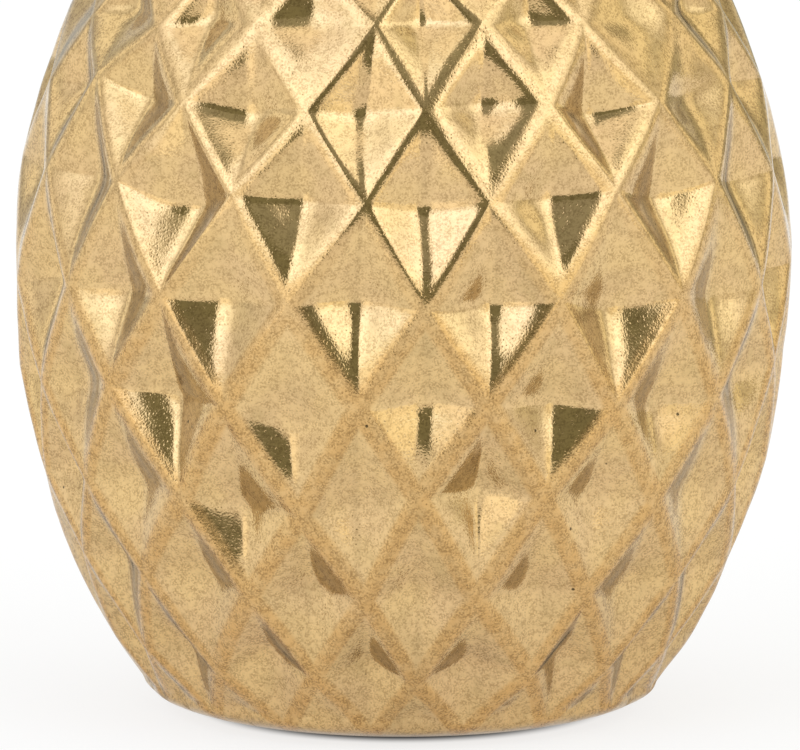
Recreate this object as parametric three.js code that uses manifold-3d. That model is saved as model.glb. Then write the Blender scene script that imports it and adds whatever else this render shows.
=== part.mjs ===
// Pineapple ornament in glazed ceramic: a hollow body under a net of raised ridges, a crown stub seated in
// the body's neck, tiers of leaves whose tangs sit in pockets of the stub, and felt pads in the foot.
// Millimetres, +Z up. The origin is on the surface that it stands on, under the middle of the body.
import * as THREE from "three";
import { mergeVertices } from "three/addons/utils/BufferGeometryUtils.js";
import Module from "manifold-3d";

const wasm = await Module();
wasm.setup();

// Clearance left at every joint for slip or glue
const jointGap = 0.3;
// How far a cutter runs past the face that it opens
const overrun = 2;

// Felt pads in the underside
const pad = {
  count: 4,
  radius: 5,
  thickness: 1.5,
  proud: 0.5,
  ringRadius: 21.5,
  firstTurnShare: 0.125,
  sides: 20,
};

// Body outline, with heights above its underside
const body = {
  bellyRadius: 70,
  bellyHeight: 82.6,
  footFlatRadius: 30,
  footRadius: 46.8,
  footEdgeHeight: 4.9,
  neckRadius: 30,
  neckHeight: 163.9,
  lowerPower: 2.11,
  upperPower: 1.74,
};

// Inside of the body
const hollow = {
  wall: 4,
  floor: 6,
  neckWall: 8,
  pourHoleRadius: 13,
  sides: 32,
  rings: 9,
};

// Ridge net: crossings alternate from row to row, and each cell between four of them sinks to one point
const net = {
  cellsAround: 18,
  turnDeg: 3.25,
  pitDepth: 4.2,
  ridgeShare: 0.2,
  ridgeDropShare: 0.12,
  rowHeightShares: [0.012, 0.081, 0.175, 0.276, 0.385, 0.494, 0.608, 0.703, 0.784, 0.851, 0.909, 0.958],
};

// Crown stub: a spigot in the neck, a flange on it, and a dome that carries the leaves
const stub = {
  spigotRadius: 16,
  spigotLength: 8,
  flangeRadius: 23,
  flangeHeight: 2.4,
  flangeBevel: 1,
  domeRadius: 20,
  domeHeight: 29,
  domeRings: 6,
  sides: 24,
};

// Leaves: the longest, the widest and the widest root, which each tier takes a share of
const leaf = {
  length: 86,
  width: 21,
  rootWidth: 11,
  tangDepth: 3.5,
  thickness: 3.6,
  midribGroove: 0.7,
  midribSegments: 24,
  camber: 2.6,
  stationShares: [0, 0.08, 0.2, 0.36, 0.54, 0.72, 0.88],
  widthShares: [0, 0.45, 0.86, 1, 0.9, 0.64, 0.3],
  thicknessShares: [1, 1, 0.92, 0.82, 0.7, 0.58, 0.42],
  camberShares: [0, 0.2, 0.7, 1, 1, 0.8, 0.4],
};

// Tiers of leaves from the lowest outer ring to the upright heart. Angles are above the horizontal.
const tiers = [
  { leaves: 9, latitudeDeg: 6, bendDeg: [10, 30, -34], lengthShare: 0.55, widthShare: 0.95, rootShare: 1 },
  { leaves: 8, latitudeDeg: 27, bendDeg: [30, 62, 0], lengthShare: 0.7, widthShare: 1, rootShare: 0.95 },
  { leaves: 7, latitudeDeg: 45, bendDeg: [48, 78, 28], lengthShare: 0.86, widthShare: 0.95, rootShare: 0.86 },
  { leaves: 5, latitudeDeg: 62, bendDeg: [64, 88, 56], lengthShare: 0.98, widthShare: 0.86, rootShare: 0.68 },
  { leaves: 3, latitudeDeg: 79, bendDeg: [80, 92, 80], lengthShare: 1, widthShare: 0.62, rootShare: 0.46 },
];
const tierTurnShare = 0.38;

const gold = new THREE.MeshStandardMaterial({ color: 0xc8a469, roughness: 0.22, metalness: 0.55 });
const felt = new THREE.MeshStandardMaterial({ color: 0x4a3a2c, roughness: 0.95, metalness: 0 });

const fullTurn = 2 * Math.PI;
const radians = THREE.MathUtils.degToRad;
const mix = THREE.MathUtils.lerp;

// Heights of the joints above the standing surface
const underside = pad.proud;
const neckTop = underside + body.neckHeight;
const flangeBottom = neckTop + jointGap;
const domeBottom = flangeBottom + stub.flangeHeight;

// Solids

function solidOf(geometry) {
  const plain = new THREE.BufferGeometry();
  plain.setAttribute("position", geometry.getAttribute("position"));
  if (geometry.index) plain.setIndex(geometry.index);
  const merged = mergeVertices(plain, 1e-4);
  const mesh = new wasm.Mesh({
    numProp: 3,
    vertProperties: new Float32Array(merged.getAttribute("position").array),
    triVerts: new Uint32Array(merged.index.array),
  });
  return new wasm.Manifold(mesh);
}

function geometryOf(solid) {
  const mesh = solid.getMesh();
  const geometry = new THREE.BufferGeometry();
  geometry.setAttribute("position", new THREE.BufferAttribute(new Float32Array(mesh.vertProperties), 3));
  geometry.setIndex(new THREE.BufferAttribute(new Uint32Array(mesh.triVerts), 1));
  geometry.computeVertexNormals();
  return geometry;
}

function geometryOfTriangles(points, triangles) {
  const geometry = new THREE.BufferGeometry().setFromPoints(points);
  geometry.setIndex(triangles);
  geometry.computeVertexNormals();
  return geometry;
}

// A profile of [radius, height] pairs, from the axis round the outside and back to it, turned about Z
function turned(profile, sides) {
  const points = profile.map(([radius, height]) => new THREE.Vector2(radius, height));
  return new THREE.LatheGeometry(points, sides).rotateX(Math.PI / 2);
}

function namedMesh(name, geometry, material) {
  const mesh = new THREE.Mesh(geometry, material);
  mesh.name = name;
  return mesh;
}

// Body outline

// How far along its reach a superellipse has shrunk from the belly to a given radius
function reachShare(radius, power) {
  return (1 - (radius / body.bellyRadius) ** 2) ** (1 / power);
}

function superellipse(share, power) {
  return body.bellyRadius * Math.sqrt(1 - share ** power);
}

// Outer radius at a height above the underside, along the crests of the ridges
function outlineRadius(height) {
  if (height < body.footEdgeHeight) {
    const lift = 1 - height / body.footEdgeHeight;
    return body.footFlatRadius + (body.footRadius - body.footFlatRadius) * Math.sqrt(1 - lift ** 2);
  }
  if (height < body.bellyHeight) {
    const reach = body.bellyHeight - body.footEdgeHeight;
    const share = ((body.bellyHeight - height) / reach) * reachShare(body.footRadius, body.lowerPower);
    return superellipse(share, body.lowerPower);
  }
  const reach = body.neckHeight - body.bellyHeight;
  const share = ((height - body.bellyHeight) / reach) * reachShare(body.neckRadius, body.upperPower);
  return superellipse(share, body.upperPower);
}

// Radius and height of a point sunk below the outline along its normal
function sunkPoint(height, depth) {
  const step = body.neckHeight / 1000;
  const low = Math.max(height - step, 0);
  const high = Math.min(height + step, body.neckHeight);
  const along = new THREE.Vector2(outlineRadius(high) - outlineRadius(low), high - low).normalize();
  return [outlineRadius(height) - depth * along.y, height + depth * along.x];
}

// Ridge net

const columns = 2 * net.cellsAround;
const topRow = net.rowHeightShares.length;
const isCrossing = (row, column) => (row + column) % 2 === 1;

function rowHeight(row) {
  if (row >= topRow) return body.neckHeight;
  const low = Math.floor(row);
  const next = low + 1 < topRow ? net.rowHeightShares[low + 1] : 1;
  return body.neckHeight * mix(net.rowHeightShares[low], next, row - low);
}

// Cells shrink towards the neck and the foot, and their pits get shallower with them
function pitDepthAt(row) {
  if (row <= 0 || row >= topRow) return 0;
  return (net.pitDepth * outlineRadius(rowHeight(row))) / body.bellyRadius;
}

function netPoint(row, column, depth) {
  const [radius, height] = sunkPoint(rowHeight(row), depth);
  const angle = radians(net.turnDeg) + (fullTurn * column) / columns;
  return new THREE.Vector3(radius * Math.sin(angle), -radius * Math.cos(angle), underside + height);
}

// Corner of the net: a crossing on the outline, or the bottom of a pit
function corner(row, column) {
  return netPoint(row, column, isCrossing(row, column) ? 0 : pitDepthAt(row));
}

// Where the ridge's shoulder meets the line from a crossing to the bottom of a pit beside it
function shoulder([row, column], [pitRow, pitColumn]) {
  const drop = net.ridgeDropShare * pitDepthAt(pitRow);
  return netPoint(mix(row, pitRow, net.ridgeShare), mix(column, pitColumn, net.ridgeShare), drop);
}

// Half of a square of the net: the ridge from one crossing to the next, and one facet of the pit beside it
function addFacet(triangles, from, to, pit) {
  const [a, b, c] = [corner(...from), corner(...to), corner(...pit)];
  const nearFrom = shoulder(from, pit);
  const nearTo = shoulder(to, pit);
  triangles.push(a, nearFrom, nearTo, a, nearTo, b, nearFrom, c, nearTo);
}

function addNetSquare(triangles, row, column) {
  const lowLeft = [row, column];
  const lowRight = [row, column + 1];
  const highRight = [row + 1, column + 1];
  const highLeft = [row + 1, column];
  if (isCrossing(row, column)) {
    addFacet(triangles, lowLeft, highRight, lowRight);
    addFacet(triangles, highRight, lowLeft, highLeft);
  } else {
    addFacet(triangles, highLeft, lowRight, lowLeft);
    addFacet(triangles, lowRight, highLeft, highRight);
  }
}

// Edge of the net at its first or last row, with the shoulder between each pair of corners
function edgeRing(row) {
  const ring = [];
  for (let column = 0; column < columns; column += 1) {
    const here = [row, column];
    const next = [row, column + 1];
    ring.push(corner(...here));
    ring.push(isCrossing(row, column) ? shoulder(here, next) : shoulder(next, here));
  }
  return ring;
}

// A disc across a ring of points, facing up or down
function addDisc(triangles, ring, facingUp) {
  const centre = new THREE.Vector3(0, 0, ring[0].z);
  ring.forEach((point, index) => {
    const next = ring[(index + 1) % ring.length];
    triangles.push(...(facingUp ? [point, next, centre] : [next, point, centre]));
  });
}

// The strip from the net's first row in to the flat of the foot, and the flat itself
function addFoot(triangles, ring) {
  const flat = ring.map((point) => {
    const scale = body.footFlatRadius / Math.hypot(point.x, point.y);
    return new THREE.Vector3(point.x * scale, point.y * scale, underside);
  });
  ring.forEach((point, index) => {
    const next = (index + 1) % ring.length;
    triangles.push(point, flat[index], flat[next], point, flat[next], ring[next]);
  });
  addDisc(triangles, flat, false);
}

function bodyBlock() {
  const triangles = [];
  for (let row = 0; row < topRow; row += 1) {
    for (let column = 0; column < columns; column += 1) addNetSquare(triangles, row, column);
  }
  addFoot(triangles, edgeRing(0));
  addDisc(triangles, edgeRing(topRow), true);
  return solidOf(new THREE.BufferGeometry().setFromPoints(triangles));
}

// The inside: the pour hole in the foot, the cavity, and the socket in the neck
function hollowCutter() {
  const ceiling = neckTop - hollow.neckWall;
  const floor = underside + hollow.floor;
  const socketRadius = stub.spigotRadius + jointGap;
  const sunk = net.pitDepth + hollow.wall;
  const lowest = rowHeight(1);
  const highest = rowHeight(topRow - 1);
  const wallPoints = [];
  for (let ring = 0; ring <= hollow.rings; ring += 1) {
    const [radius, height] = sunkPoint(mix(lowest, highest, ring / hollow.rings), sunk);
    wallPoints.push([radius, underside + height]);
  }
  return solidOf(
    turned(
      [
        [0, underside - overrun],
        [hollow.pourHoleRadius, underside - overrun],
        [hollow.pourHoleRadius, floor],
        [body.footRadius - sunk, floor],
        ...wallPoints,
        [socketRadius, ceiling],
        [socketRadius, neckTop + overrun],
        [0, neckTop + overrun],
      ],
      hollow.sides,
    ),
  );
}

function padPlace(index) {
  const angle = fullTurn * (index / pad.count + pad.firstTurnShare);
  return [pad.ringRadius * Math.cos(angle), pad.ringRadius * Math.sin(angle)];
}

function disc(radius, bottom, top) {
  const profile = [
    [0, bottom],
    [radius, bottom],
    [radius, top],
    [0, top],
  ];
  return turned(profile, pad.sides);
}

function padRecess(index) {
  const [x, y] = padPlace(index);
  const recess = disc(pad.radius + jointGap, underside - overrun, pad.thickness + jointGap);
  return solidOf(recess.translate(x, y, 0));
}

function bodyShell() {
  let solid = bodyBlock().subtract(hollowCutter());
  for (let index = 0; index < pad.count; index += 1) solid = solid.subtract(padRecess(index));
  return namedMesh("body_shell", geometryOf(solid), gold);
}

function footPad(index) {
  const mesh = namedMesh(`foot_pad_${index + 1}`, disc(pad.radius, 0, pad.thickness), felt);
  const [x, y] = padPlace(index);
  mesh.position.set(x, y, 0);
  return mesh;
}

// Leaves

// Eight points round a leaf: its edges rise by the camber, and its upper face has a groove along the middle
function leafSection({ halfWidth, thickness, camber, groove }) {
  const half = thickness / 2;
  const flank = camber / 4;
  return [
    [-halfWidth, camber],
    [-halfWidth / 2, flank - half],
    [0, -half],
    [halfWidth / 2, flank - half],
    [halfWidth, camber],
    [halfWidth / 2, flank + half],
    [0, half - groove],
    [-halfWidth / 2, flank + half],
  ];
}

// Place and direction along a leaf's midrib, in the upright plane through the crown's axis
function midribPlace(tier, share) {
  const steps = leaf.midribSegments;
  let out = 0;
  let up = 0;
  const [root, middle, end] = tier.bendDeg;
  const angleAt = (t) => radians((1 - t) ** 2 * root + 2 * t * (1 - t) * middle + t ** 2 * end);
  const stride = (leaf.length * tier.lengthShare * share) / steps;
  for (let step = 0; step < steps; step += 1) {
    const angle = angleAt((share * (step + 0.5)) / steps);
    out += Math.cos(angle) * stride;
    up += Math.sin(angle) * stride;
  }
  return { out, up, angle: angleAt(share) };
}

// A section set square to the midrib, as points with X outwards, Y sideways and Z up
function placedSection({ out, up, angle }, section) {
  return section.map(([side, rise]) => {
    return new THREE.Vector3(out - rise * Math.sin(angle), side, up + rise * Math.cos(angle));
  });
}

// The tang inside the dome: a flat tongue behind the leaf's root, straight along the root's direction
function tangRings(tier, spare) {
  const angle = radians(tier.bendDeg[0]);
  const section = leafSection({
    halfWidth: (leaf.rootWidth * tier.rootShare) / 2 + 2 * spare,
    thickness: leaf.thickness + 2 * spare,
    camber: 0,
    groove: 0,
  });
  const back = -leaf.tangDepth - spare;
  const front = spare > 0 ? leaf.tangDepth : 0;
  return [back, front].map((along) => {
    return placedSection({ out: along * Math.cos(angle), up: along * Math.sin(angle), angle }, section);
  });
}

// Width of the blade: from the root out to the widest station, then in to the tip
function bladeWidth(tier, station) {
  const widest = leaf.width * tier.widthShare;
  const share = leaf.widthShares[station];
  if (station > leaf.widthShares.indexOf(1)) return widest * share;
  return mix(leaf.rootWidth * tier.rootShare, widest, share);
}

function bladeRings(tier) {
  return leaf.stationShares.slice(1).map((share, index) => {
    const station = index + 1;
    const section = leafSection({
      halfWidth: bladeWidth(tier, station) / 2,
      thickness: leaf.thickness * leaf.thicknessShares[station],
      camber: leaf.camber * leaf.camberShares[station],
      groove: leaf.midribGroove * leaf.camberShares[station],
    });
    return placedSection(midribPlace(tier, share), section);
  });
}

// Closed skin over rings of points, with a flat cap at the start and a cap or a point at the end
function skinOver(rings, tip) {
  const around = rings[0].length;
  const points = rings.flat();
  const triangles = [];
  for (let ring = 0; ring + 1 < rings.length; ring += 1) {
    for (let side = 0; side < around; side += 1) {
      const next = (side + 1) % around;
      const [a, b] = [ring * around + side, ring * around + next];
      triangles.push(a, b, b + around, a, b + around, a + around);
    }
  }
  const last = (rings.length - 1) * around;
  for (let side = 1; side + 1 < around; side += 1) triangles.push(0, side + 1, side);
  if (tip) {
    points.push(tip);
    for (let side = 0; side < around; side += 1) {
      triangles.push(last + side, last + ((side + 1) % around), points.length - 1);
    }
  } else {
    for (let side = 1; side + 1 < around; side += 1) triangles.push(last, last + side, last + side + 1);
  }
  return geometryOfTriangles(points, triangles);
}

function leafGeometry(tier) {
  const end = midribPlace(tier, 1);
  const tip = new THREE.Vector3(end.out, 0, end.up);
  return skinOver([...tangRings(tier, 0), ...bladeRings(tier)], tip);
}

// Places a leaf's own frame at its root on the dome
function setOnDome(object, tier, tierIndex, leafIndex) {
  const latitude = radians(tier.latitudeDeg);
  const turn = fullTurn * (leafIndex / tier.leaves + tierIndex * tierTurnShare);
  const radius = stub.domeRadius * Math.cos(latitude);
  const height = domeBottom + stub.domeHeight * Math.sin(latitude);
  object.position.set(radius * Math.cos(turn), radius * Math.sin(turn), height);
  object.rotation.z = turn;
  object.updateMatrix();
}

function eachLeaf(visit) {
  tiers.forEach((tier, tierIndex) => {
    for (let leafIndex = 0; leafIndex < tier.leaves; leafIndex += 1) visit(tier, tierIndex, leafIndex);
  });
}

function crownLeaves() {
  const meshes = [];
  eachLeaf((tier, tierIndex, leafIndex) => {
    const mesh = namedMesh(`leaf_tier${tierIndex + 1}_${leafIndex + 1}`, leafGeometry(tier), gold);
    setOnDome(mesh, tier, tierIndex, leafIndex);
    meshes.push(mesh);
  });
  return meshes;
}

// Crown stub

function stubBlock() {
  const domeArc = [];
  for (let ring = 0; ring < stub.domeRings; ring += 1) {
    const latitude = ((fullTurn / 4) * ring) / stub.domeRings;
    domeArc.push([stub.domeRadius * Math.cos(latitude), domeBottom + stub.domeHeight * Math.sin(latitude)]);
  }
  const spigotBottom = flangeBottom - stub.spigotLength;
  return solidOf(
    turned(
      [
        [0, spigotBottom],
        [stub.spigotRadius, spigotBottom],
        [stub.spigotRadius, flangeBottom],
        [stub.flangeRadius, flangeBottom],
        [stub.flangeRadius, domeBottom - stub.flangeBevel],
        [stub.flangeRadius - stub.flangeBevel, domeBottom],
        ...domeArc,
        [0, domeBottom + stub.domeHeight],
      ],
      stub.sides,
    ),
  );
}

function crownStub() {
  let solid = stubBlock();
  eachLeaf((tier, tierIndex, leafIndex) => {
    const pocket = new THREE.Object3D();
    setOnDome(pocket, tier, tierIndex, leafIndex);
    const geometry = skinOver(tangRings(tier, jointGap), null).applyMatrix4(pocket.matrix);
    solid = solid.subtract(solidOf(geometry));
  });
  return namedMesh("crown_stub", geometryOf(solid), gold);
}

const ornament = new THREE.Group();
ornament.add(bodyShell());
for (let index = 0; index < pad.count; index += 1) ornament.add(footPad(index));
const crown = new THREE.Group();
crown.add(crownStub(), ...crownLeaves());
ornament.add(crown);

export default ornament;
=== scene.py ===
"""Looks of a pineapple ornament in gold-lustred ceramic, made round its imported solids.

Metres, +Z up, the front faces -Y, and the origin is on the standing surface under the middle of the body.
"""

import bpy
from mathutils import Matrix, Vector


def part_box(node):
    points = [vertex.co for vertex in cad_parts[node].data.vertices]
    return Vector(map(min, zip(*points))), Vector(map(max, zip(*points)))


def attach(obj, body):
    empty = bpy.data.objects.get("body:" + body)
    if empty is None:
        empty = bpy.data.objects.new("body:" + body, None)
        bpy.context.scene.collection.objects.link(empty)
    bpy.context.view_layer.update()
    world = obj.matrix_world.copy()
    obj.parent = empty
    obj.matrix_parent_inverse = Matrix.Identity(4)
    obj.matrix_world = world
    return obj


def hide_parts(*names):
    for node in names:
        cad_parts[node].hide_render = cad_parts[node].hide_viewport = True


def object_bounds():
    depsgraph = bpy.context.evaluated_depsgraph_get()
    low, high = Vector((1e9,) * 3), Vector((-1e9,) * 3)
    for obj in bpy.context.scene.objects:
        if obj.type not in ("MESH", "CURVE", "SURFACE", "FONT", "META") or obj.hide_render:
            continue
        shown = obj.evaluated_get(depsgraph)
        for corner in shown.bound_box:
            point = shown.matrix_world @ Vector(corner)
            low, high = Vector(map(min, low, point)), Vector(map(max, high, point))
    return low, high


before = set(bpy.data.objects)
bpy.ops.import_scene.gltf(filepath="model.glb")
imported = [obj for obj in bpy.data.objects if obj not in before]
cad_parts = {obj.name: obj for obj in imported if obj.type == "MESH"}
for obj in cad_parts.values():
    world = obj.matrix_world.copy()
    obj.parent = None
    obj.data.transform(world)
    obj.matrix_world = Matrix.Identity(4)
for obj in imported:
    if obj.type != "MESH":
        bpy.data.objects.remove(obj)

import copy
import math

import bpy
import numpy as np
from mathutils import Vector
from mathutils.geometry import delaunay_2d_cdt

MM = 0.001
FULL_TURN = 2 * math.pi
BODY_SEED, LEAF_SEED = 7, 11

cad_low, cad_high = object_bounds()
body_low, body_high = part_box("body_shell")
stub_low, stub_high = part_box("crown_stub")

# Camera of the photograph: it looks along +Y and down, at a point just beside the axis
IMAGE_WIDTH, IMAGE_HEIGHT = 800, 750
CAMERA_AIM = np.array([-0.42, 0, 59.73]) * MM
CAMERA_DISTANCE = 1422.3 * MM
CAMERA_TILT = math.radians(8.76)
SENSOR_WIDTH = 36.0
LENS = 356.1
CLIP_END = 50
PIXELS_PER_UNIT = LENS * IMAGE_WIDTH / SENSOR_WIDTH
CAMERA_BACK = np.array([0, -math.cos(CAMERA_TILT), math.sin(CAMERA_TILT)])
CAMERA_PLACE = CAMERA_AIM + CAMERA_BACK * CAMERA_DISTANCE

# Body outline, with heights above its underside
UNDERSIDE = body_low.z
NECK_HEIGHT = body_high.z - body_low.z
BELLY_RADIUS = 70 * MM
BELLY_HEIGHT = 82.6 * MM
FOOT_FLAT_RADIUS = 30 * MM
FOOT_RADIUS = 46.8 * MM
FOOT_EDGE_HEIGHT = 4.9 * MM
NECK_RADIUS = 30 * MM
LOWER_POWER = 2.11
UPPER_POWER = 1.74

# Inside of the body; the wall is measured from the outline, before the pits sink into it
FLOOR_THICKNESS = 6 * MM
WALL = 8.2 * MM
NECK_WALL = 8 * MM
POUR_HOLE_RADIUS = 13 * MM
SOCKET_RADIUS = 16.3 * MM
ROUNDING = 0.5 * MM
# Points round the foot's edge and a rounded corner, and rings up the hollow's wall
FOOT_STEPS = 8
CORNER_STEPS = 4
WALL_RINGS = 9

# Ridge net: rows of crossings from the foot to the neck, and columns round the body
CELLS_AROUND = 18
COLUMNS = 2 * CELLS_AROUND
NET_TURN = math.radians(3.25)
ROW_SHARES = np.array([0.012, 0.081, 0.175, 0.276, 0.385, 0.494, 0.608,
                       0.703, 0.784, 0.851, 0.909, 0.958, 1])
TOP_ROW = len(ROW_SHARES) - 1

# A crossing's slip from its even place: the usual one by chance, the largest one where the photograph shows
# it, and the steps and the damping that it is settled with
SLIP = 0.9 * MM
LARGEST_SLIP = 2.6 * MM
SLIP_STEPS = 12
SLIP_DAMPING = 1

# Relief of a cell: the pit's depth, how much it and its place vary, and how its faces swing
PIT_DEPTH = 6.2 * MM
PIT_SPREAD = 0.07
PIT_SLIP = 0.03
FACE_SWING = 0.3
# Its crests: rounding, how much rounder they are on the upper rows, and how far they sag between crossings
CREST_ROUNDING = 0.5 * MM
UPPER_ROUNDING_SHARE = 1.3
CREST_SAG = 0.2 * MM
# Its creases: softness of the upright and the level one, how much it varies, and how it grows between two
# angles from the front
UPRIGHT_CREASE = 0.18
LEVEL_CREASE = 0.09
CREASE_SPREAD = 0.35
SIDE_SOFTNESS = 1.25
SIDE_ANGLES = (25, 55)
# From this row up the pits are shallower and lie higher in their cells
HIGH_ROW = 8
HIGH_PIT_SHARE = 0.8
HIGH_PIT_RISE = 0.15
# What is left of a pit's depth in the first and the last row, where the net's ends cut it off
EDGE_DEPTH_SHARE = 0.6
# Ripples of the hand-finished surface
RIPPLE_HEIGHT = 0.04 * MM
RIPPLE_LENGTHS = (7 * MM, 16 * MM)
RIPPLE_WAVES = 36
# A crest's dull band, which is also painted more orange as a reflection of gold mirrored in gold: where it
# ends beside the crest, the rows over which it fades and the crest gets rounder, and what is left of it
# above them
CREST_SHARES = (0.07, 0.11)
DULL_ROWS = (4, 6)
UPPER_CREST_BAND = 0.15
# Places of the mesh's points across a cell, from one ridge to the middle
RIDGE_STEPS = np.array([0, 0.02, 0.045, 0.077, 0.118, 0.168, 0.226, 0.29, 0.358, 0.428, 0.5])

# Ridge crossings read from the photograph. For each row: its first crossing's column, and the (x, y) of every
# second column from there
CROSSING_PIXELS = {
    8: (-5, [(158, 27), (256, 21), (376, 24), (483, 22), (583, 20), (673, 12), (723, 10)]),
    7: (-6, [(97, 72), (183, 102), (306, 111), (425, 110), (550, 104), (660, 101), (730, 82)]),
    6: (-7, [(46, 167), (115, 181), (231, 195), (365, 205), (490, 204), (617, 191), (718, 180), (774, 171)]),
    5: (-8, [(14, 283), (67, 287), (159, 297), (287, 305), (426, 312), (562, 301), (684, 298), (762, 286)]),
    4: (-7, [(40, 382), (107, 385), (221, 407), (358, 410), (489, 407), (617, 409), (719, 398)]),
    3: (-6, [(85, 482), (180, 499), (300, 519), (418, 500), (545, 499), (658, 502), (735, 487)]),
    2: (-7, [(83, 552), (142, 574), (249, 598), (365, 604), (476, 603), (586, 599), (678, 579)]),
    1: (-6, [(147, 651), (215, 675), (315, 680), (415, 687), (532, 677), (606, 672)]),
}

# Places of the photograph where a face mirrors the dark room, and where a face mirrors something pale: (x, y)
DARK_PIXELS = [
    (232, 55), (222, 72), (152, 225), (154, 250), (258, 215), (272, 262), (525, 80), (590, 215), (585, 245),
    (188, 322), (208, 358), (306, 332), (338, 376), (507, 366), (630, 330), (632, 356),
    (156, 425), (163, 446), (262, 438), (278, 472), (577, 440), (567, 462), (214, 523), (226, 546),
    (505, 60), (528, 120),
]
PALE_PIXELS = [
    (300, 45), (335, 45), (405, 45), (450, 45), (520, 45), (545, 50), (190, 50),
    (225, 130), (260, 80), (260, 130), (345, 75), (345, 140), (385, 75), (385, 140), (465, 75), (465, 140),
    (600, 80), (600, 140), (625, 80), (630, 140), (130, 210), (180, 150), (185, 240), (150, 160),
    (290, 165), (325, 170), (320, 235), (405, 175), (450, 175), (405, 245), (450, 245), (535, 170),
    (575, 160), (540, 240), (650, 150), (690, 150), (655, 240), (690, 235),
    (200, 275), (242, 290), (245, 345),
    (330, 280), (380, 280), (330, 335), (385, 345), (470, 280), (515, 280), (470, 345), (520, 335),
    (600, 270), (605, 345), (645, 275), (105, 260), (105, 330), (140, 375), (185, 380), (188, 430),
    (268, 385), (315, 385), (315, 440), (400, 380), (450, 380), (400, 440), (450, 440),
    (535, 385), (575, 385), (535, 440), (655, 370), (690, 370), (655, 435), (685, 440),
    (215, 485), (255, 485), (258, 540), (340, 480), (380, 480), (340, 540), (385, 540),
    (465, 480), (505, 485), (460, 545), (500, 550), (585, 480), (625, 480), (590, 535), (620, 535),
    (358, 55), (392, 60), (335, 90), (402, 92), (465, 58), (453, 85), (410, 140), (443, 140), (395, 230),
    (455, 230), (285, 150), (318, 150), (262, 182), (338, 182), (535, 150), (572, 145), (520, 182), (265, 45),
    (275, 75), (350, 150), (395, 140), (325, 130), (460, 130), (500, 140), (425, 137),
]
# The dark room's azimuths and elevations, and the margin kept from its edges
ROOM_EDGES = ((-20, 25), (3, 30))
ROOM_MARGIN = 4
# Limits of a pit's two slips, its depth and its swing, the steps and the damping that they are settled with,
# and how near a ridge a spot may lie
PIT_LIMITS = ((-0.4, 0.4), (-0.4, 0.4), (0.6, 1.5), (0, 0.6))
PIT_STEPS = 14
PIT_DAMPING = 1000
SPOT_MARGIN = 0.08

# Crown
DOME_RADIUS = 20 * MM
DOME_HEIGHT = 29 * MM
DOME_BOTTOM = stub_high.z - DOME_HEIGHT
FLANGE_HEIGHT = 2.4 * MM
FLANGE_RADIUS = 23 * MM
SPIGOT_RADIUS = 16 * MM
LEAF_LENGTH = 86 * MM
LEAF_WIDTH = 21 * MM
LEAF_ROOT_WIDTH = 11 * MM
LEAF_THICKNESS = 3.6 * MM
LEAF_CAMBER = 2.6 * MM
LEAF_GROOVE = 0.8 * MM
GROOVE_SHARE = 0.16
LEAF_VEIN = 0.1 * MM
LEAF_VEINS = 5
LEAF_CURL = 0.25 * MM
LEAF_SECTIONS = 45
LEAF_SIDES = 40
LEAF_EDGE = (0.8, 1.0)
TANG_DEPTH = 3.5 * MM
WIDEST_SHARE = 0.36
TIP_THINNING = 0.5
# Powers of its formulas: how its sections crowd towards the tip, and how it swells, shrinks, cambers and ends
SECTION_POWER, SWELL_POWER, SHRINK_POWER, CAMBER_POWER, END_POWER = 1.15, 2.4, 1.8, 0.85, 12
# Sides of the crown's core, and points round its flange's rim and up its dome
CORE_SIDES = 96
RIM_STEPS = 9
DOME_STEPS = 24
# Leaves, latitude on the dome, bend at root, middle and tip, and shares of length, width and root width
TIERS = [
    (9, 6, (10, 30, -34), 0.55, 0.95, 1),
    (8, 27, (30, 62, 0), 0.7, 1, 0.95),
    (7, 45, (48, 78, 28), 0.86, 0.95, 0.86),
    (5, 62, (64, 88, 56), 0.98, 0.86, 0.68),
    (3, 79, (80, 92, 80), 1, 0.62, 0.46),
]
TIER_TURN_SHARE = 0.38

# Felt pads
PADS = 4
PAD_RADIUS = 5 * MM
PAD_RECESS_RADIUS = 5.3 * MM
PAD_RING_RADIUS = 21.5 * MM
PAD_RECESS_TOP = 1.8 * MM
PAD_ROUNDING = 0.3 * MM
PAD_SIDES = 48
PAD_STEPS = 5

# Colours of the gold lustre, and painted reflection colours for the lustre as it is seen mirrored in itself
GOLD = (0.75, 0.52, 0.24, 1)
PINK_GOLD = (0.73, 0.50, 0.25, 1)
# Olive: a tone of the lustre's own patches, and painted shade towards the outline as seen
OLIVE_GOLD = (0.55, 0.39, 0.165, 1)
# Crest orange: a painted reflection of gold mirrored in gold, on the crests' dull band
CREST_REFLECTION_GOLD = (0.67, 0.415, 0.165, 1)
GRAIN_BROWN = (0.21, 0.115, 0.035, 1)
HOLE_BROWN = (0.05, 0.035, 0.015, 1)
# Painted reflection colours, which the body and the crown show where they are seen mirrored in themselves
SELF_REFLECTION_GOLD = (0.52, 0.43, 0.30, 1)
SELF_REFLECTION_CROWN = (0.9, 0.84, 0.72, 1)

# Felt
FELT_BROWNS = ((0.045, 0.028, 0.018, 1), (0.11, 0.075, 0.05, 1))
FELT_LIMITS = (0.35, 0.65)
FIBRE_SIZE = 0.5 * MM
FIBRE_STRETCH = (1.0, 3.0, 1.0)
FIBRE_RELIEF = 0.3 * MM
TUFT_SIZE = 1.6 * MM

# Lustre: sizes of its waves, grain, dimples, clouds, pinholes and patches
WAVE_SIZE = 2.4 * MM
GRAIN_SIZE = 0.36 * MM
GRAIN_CLUMP = 1.3 * MM
DIMPLE_SIZE = 0.6 * MM
CLOUD_SIZE = 9 * MM
PINHOLE_SPACING = 6 * MM
CREST_BAND_PATCH = 3 * MM
OLIVE_PATCH = 4.5 * MM
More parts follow.
